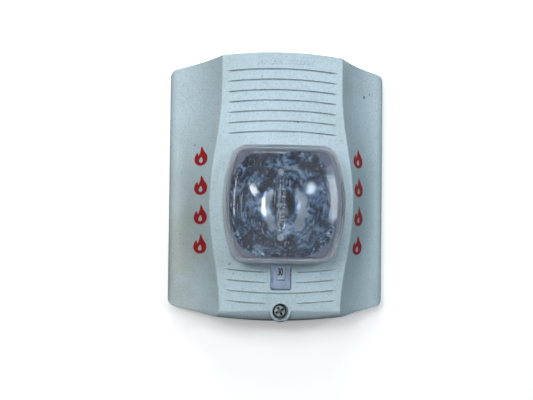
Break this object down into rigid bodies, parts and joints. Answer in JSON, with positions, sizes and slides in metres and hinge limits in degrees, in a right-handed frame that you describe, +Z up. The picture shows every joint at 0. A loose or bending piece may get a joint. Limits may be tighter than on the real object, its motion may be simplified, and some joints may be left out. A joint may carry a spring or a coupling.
{
  "type": "horn strobe",
  "caption": "Wall-mount fire alarm horn strobe: winged grooved housing, domed clear strobe lens, candela window and captive screw, hung on a separate mounting plate.",
  "frame": {"origin": "centre of the mounting plate's back face, midway between the two single-gang box holes, in the plane of the wall", "axes": "+X to the right seen from the front, +Y into the wall, +Z up; the front and the lens face -Y"},
  "size_m": [0.1194, 0.0635, 0.1422],
  "materials": {
    "housing_white": "fine moulded grain, slightly aged",
    "white_plastic": "moulded",
    "grey_plastic": "moulded",
    "black_plastic": "moulded",
    "slide_plastic": "moulded",
    "scale_white": "printed",
    "rotor_white": "moulded",
    "lens_clear": "clear, scratched",
    "window_clear": "clear",
    "tube_glass": "clear glass",
    "plated_reflector": "vacuum plated",
    "plated_steel": "zinc plated",
    "spring_brass": "plain",
    "copper": "enamelled",
    "ferrite": "sintered",
    "board_green": "solder mask",
    "can_sleeve": "shrink sleeve",
    "component_tan": "lacquered",
    "ceramic": "fired",
    "black_rubber": "foam",
    "white_rubber": "plain"
  },
  "bodies": {
    "plate": {"mounting_plate": "white_plastic", "terminal_block": "grey_plastic", "terminal_clips": "spring_brass", "terminal_washers": "plated_steel", "terminal_screws": "plated_steel", "shorting_spring": "spring_brass", "screw_insert": "spring_brass"},
    "head": {"front_housing": "housing_white", "strobe_lens": "lens_clear", "lens_gasket": "black_rubber", "reflector": "plated_reflector", "flash_tube": "tube_glass", "tube_leads": "plated_steel", "tube_grommets": "white_rubber", "trigger_wire": "copper", "main_board": "board_green", "board_screws": "plated_steel", "flash_capacitor": "can_sleeve", "trigger_transformer": "black_plastic", "choke_core": "ferrite", "choke_winding": "copper", "integrated_circuits": "black_plastic", "board_components": "component_tan", "contact_pins": "plated_steel", "horn_chamber": "grey_plastic", "piezo_plate": "spring_brass", "piezo_ceramic": "ceramic", "horn_gasket": "black_rubber", "candela_window": "window_clear", "window_mask": "black_plastic", "candela_switch_base": "black_plastic", "tone_switch_body": "black_plastic", "rear_cover": "white_plastic", "cover_screws": "plated_steel"},
    "slide": {"candela_slide": "slide_plastic", "candela_scale": "scale_white"},
    "dial": {"tone_switch_rotor": "rotor_white"},
    "retainer": {"screw_retainer": "white_rubber"},
    "screw": {"mounting_screw": "plated_steel"}
  },
  "joints": [
    {"name": "head_swing", "type": "hinge", "parent": "plate", "child": "head", "pos_m": [0, -0.0032, 0.0658], "axis": [-1, 0, 0], "range_deg": [0, 20]},
    {"name": "candela_setting", "type": "slide", "parent": "head", "child": "slide", "axis": [1, 0, 0], "range_m": [-0.02, 0.005]},
    {"name": "tone_select", "type": "hinge", "parent": "head", "child": "dial", "pos_m": [0.028, -0.0086, 0.03], "axis": [0, -1, 0], "range_deg": [0, 315]},
    {"name": "screw_travel", "type": "slide", "parent": "head", "child": "retainer", "axis": [0, -1, 0], "range_m": [0, 0.00396]},
    {"name": "screw_turn", "type": "hinge", "parent": "retainer", "child": "screw", "pos_m": [0, -0.031, -0.0656], "axis": [0, -1, 0], "range_deg": [0, 1800]}
  ],
  "couplings": [
    {"joint": "screw_turn", "follows": "screw_travel", "rad_per_m": 7915.8}
  ]
}
